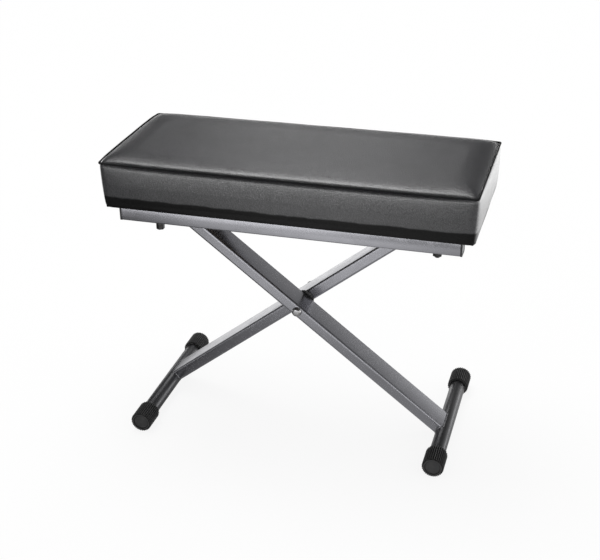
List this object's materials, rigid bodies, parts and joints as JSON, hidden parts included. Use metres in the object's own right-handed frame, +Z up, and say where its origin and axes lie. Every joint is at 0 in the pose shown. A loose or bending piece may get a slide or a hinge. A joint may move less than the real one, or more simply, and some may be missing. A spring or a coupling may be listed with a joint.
{
  "type": "folding keyboard bench",
  "caption": "Padded rectangular bench seat on crossed tube legs with ribbed feet, folding flat, its height set in notches.",
  "frame": {"origin": "on the floor, under the middle of the seat, where all four foot caps rest", "axes": "+X along the seat towards the end whose foot belongs to the front leg, +Y towards the back edge, +Z up"},
  "size_m": [0.59, 0.291, 0.4786],
  "materials": {
    "leatherette": "fine-grained black leatherette, satin",
    "plywood": "raw plywood",
    "coated_steel": "dark grey metallic powder coat, semi-gloss",
    "black_rubber": "matt ribbed rubber",
    "black_plastic": "moulded, satin",
    "zinc_steel": "dark zinc plate"
  },
  "bodies": {
    "seat": {"seat_cushion": "leatherette", "seat_board": "plywood", "front_rail": "coated_steel", "front_rail_plug_left": "black_plastic", "front_rail_plug_right": "black_plastic", "front_rail_bolt_left": "zinc_steel", "front_rail_bolt_right": "zinc_steel", "front_hinge_bracket": "coated_steel", "front_notch_bracket": "coated_steel", "front_bracket_screw_1": "zinc_steel", "front_bracket_screw_2": "zinc_steel", "front_bracket_screw_3": "zinc_steel", "front_bracket_screw_4": "zinc_steel", "rear_rail": "coated_steel", "rear_rail_plug_left": "black_plastic", "rear_rail_plug_right": "black_plastic", "rear_rail_bolt_left": "zinc_steel", "rear_rail_bolt_right": "zinc_steel", "rear_hinge_bracket": "coated_steel", "rear_notch_bracket": "coated_steel", "rear_bracket_screw_1": "zinc_steel", "rear_bracket_screw_2": "zinc_steel", "rear_bracket_screw_3": "zinc_steel", "rear_bracket_screw_4": "zinc_steel"},
    "front_leg": {"front_leg_tube": "coated_steel", "front_leg_sleeve": "zinc_steel", "front_leg_cross_tube": "coated_steel", "right_foot_tube": "coated_steel", "right_foot_cap_front": "black_rubber", "right_foot_cap_rear": "black_rubber", "front_leg_insert_front": "zinc_steel", "front_leg_insert_rear": "zinc_steel", "hinge_washer_front": "black_plastic", "hinge_washer_rear": "black_plastic", "hinge_bolt_front": "zinc_steel", "hinge_bolt_rear": "zinc_steel", "crossing_bolt": "zinc_steel", "crossing_washer": "black_plastic", "crossing_rear_washer": "zinc_steel", "crossing_nut": "zinc_steel"},
    "rear_leg": {"rear_leg_tube": "coated_steel", "rear_leg_sleeve": "zinc_steel", "rear_leg_cross_tube": "coated_steel", "left_foot_tube": "coated_steel", "left_foot_cap_front": "black_rubber", "left_foot_cap_rear": "black_rubber", "notch_pin_front": "zinc_steel", "notch_pin_rear": "zinc_steel"}
  },
  "joints": [
    {"name": "seat_hinge", "type": "hinge", "parent": "seat", "child": "front_leg", "pos_m": [-0.2116, 0, 0.381], "axis": [0, -1, 0], "range_deg": [-4.2, 35.6]},
    {"name": "leg_crossing", "type": "hinge", "parent": "front_leg", "child": "rear_leg", "pos_m": [0, 0, 0.21458], "axis": [0, 1, 0], "range_deg": [-8.5, 71.3]}
  ],
  "couplings": [
    {"joint": "leg_crossing", "follows": "seat_hinge", "ratio": 2}
  ]
}
